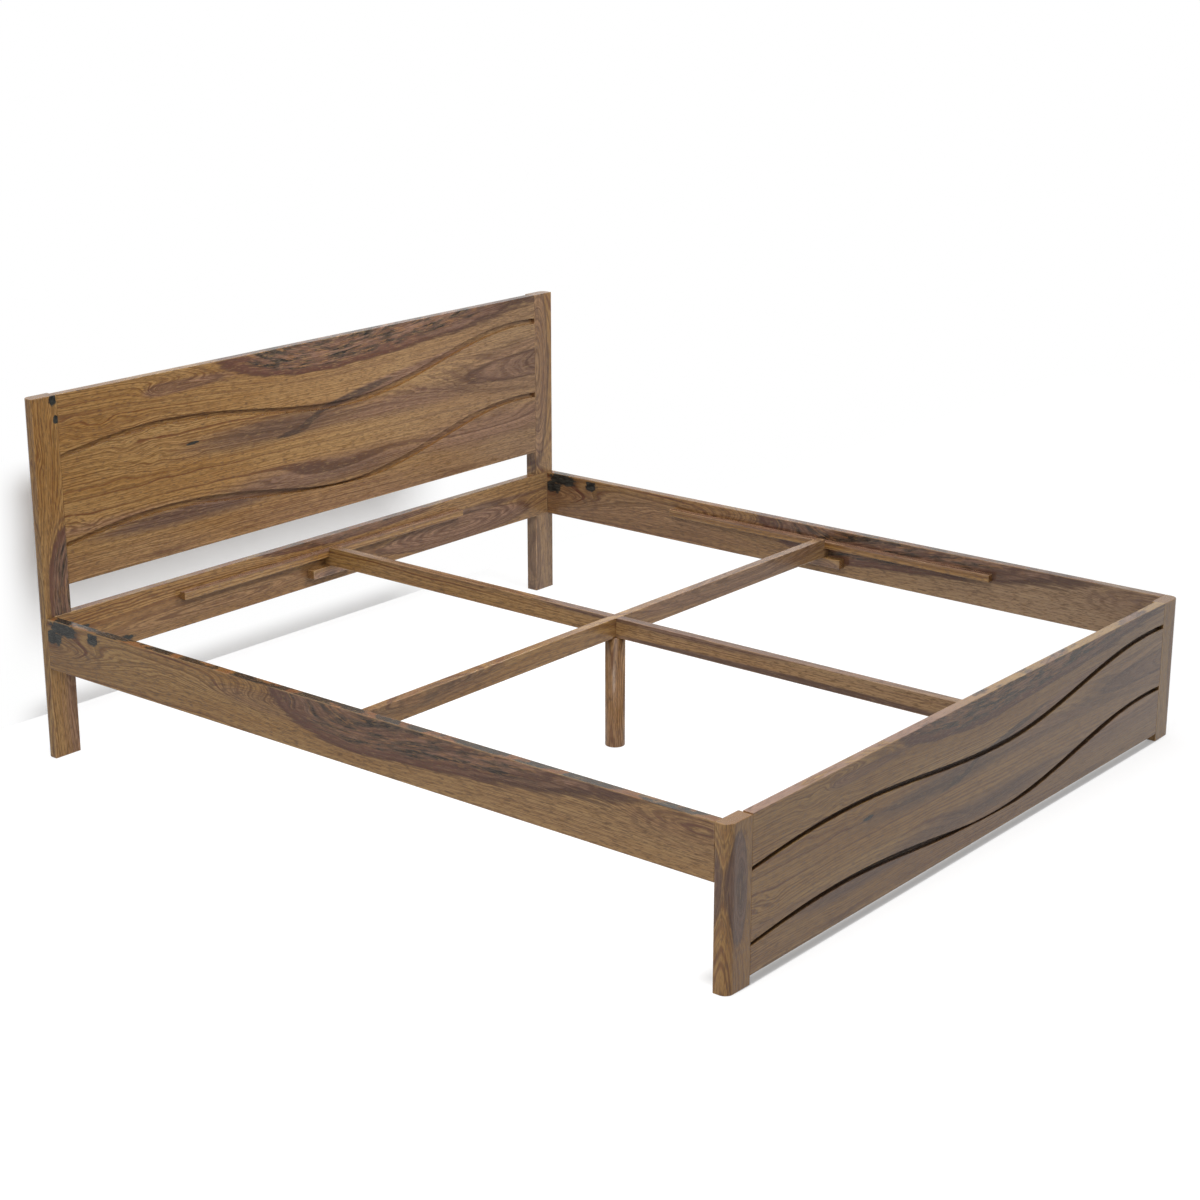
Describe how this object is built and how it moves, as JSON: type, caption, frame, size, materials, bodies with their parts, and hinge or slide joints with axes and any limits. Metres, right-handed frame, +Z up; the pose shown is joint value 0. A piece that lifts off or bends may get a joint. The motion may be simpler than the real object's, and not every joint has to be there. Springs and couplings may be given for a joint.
{
  "type": "king size bed",
  "caption": "Wooden king size bed frame with wave-grooved headboard and footboard panels, corner posts, side rails, and crossed support beams on a round centre leg.",
  "frame": {"origin": "on the floor, under the middle of the bed's outer length and width", "axes": "+Z up, +Y towards the headboard, +X towards the right side rail as seen from the foot of the bed"},
  "size_m": [1.89, 2.076, 0.9],
  "materials": {
    "panel_wood": "satin oiled, golden brown with dark streaks",
    "post_wood": "satin oiled, golden brown with dark streaks",
    "rail_wood": "satin oiled, golden brown with dark knots",
    "beam_wood": "satin oiled, plain",
    "cleat_wood": "satin oiled, plain",
    "zinc_steel": "zinc plated"
  },
  "bodies": {
    "root": {"headboard_panel": "panel_wood", "footboard_panel": "panel_wood", "head_post_left": "post_wood", "head_post_right": "post_wood", "foot_post_left": "post_wood", "foot_post_right": "post_wood", "centre_leg": "post_wood", "head_rail": "rail_wood", "side_rail_left": "rail_wood", "side_rail_right": "rail_wood", "cross_beam": "beam_wood", "long_beam": "beam_wood", "cleat_left": "cleat_wood", "cleat_right": "cleat_wood", "cleat_head": "cleat_wood", "cleat_foot": "cleat_wood", "block_left": "cleat_wood", "block_right": "cleat_wood", "block_head": "cleat_wood", "block_foot": "cleat_wood", "leg_stud": "zinc_steel", "hook_plate_head_left": "zinc_steel", "hook_plate_head_right": "zinc_steel", "hook_plate_foot_left": "zinc_steel", "hook_plate_foot_right": "zinc_steel", "slot_plate_head_left": "zinc_steel", "slot_plate_head_right": "zinc_steel", "slot_plate_foot_left": "zinc_steel", "slot_plate_foot_right": "zinc_steel", "post_screw_head_left_lower": "zinc_steel", "post_screw_head_left_upper": "zinc_steel", "post_screw_head_right_lower": "zinc_steel", "post_screw_head_right_upper": "zinc_steel", "post_screw_foot_left_lower": "zinc_steel", "post_screw_foot_left_upper": "zinc_steel", "post_screw_foot_right_lower": "zinc_steel", "post_screw_foot_right_upper": "zinc_steel", "rail_screw_head_left_lower": "zinc_steel", "rail_screw_head_left_upper": "zinc_steel", "rail_screw_head_right_lower": "zinc_steel", "rail_screw_head_right_upper": "zinc_steel", "rail_screw_foot_left_lower": "zinc_steel", "rail_screw_foot_left_upper": "zinc_steel", "rail_screw_foot_right_lower": "zinc_steel", "rail_screw_foot_right_upper": "zinc_steel"}
  },
  "joints": []
}
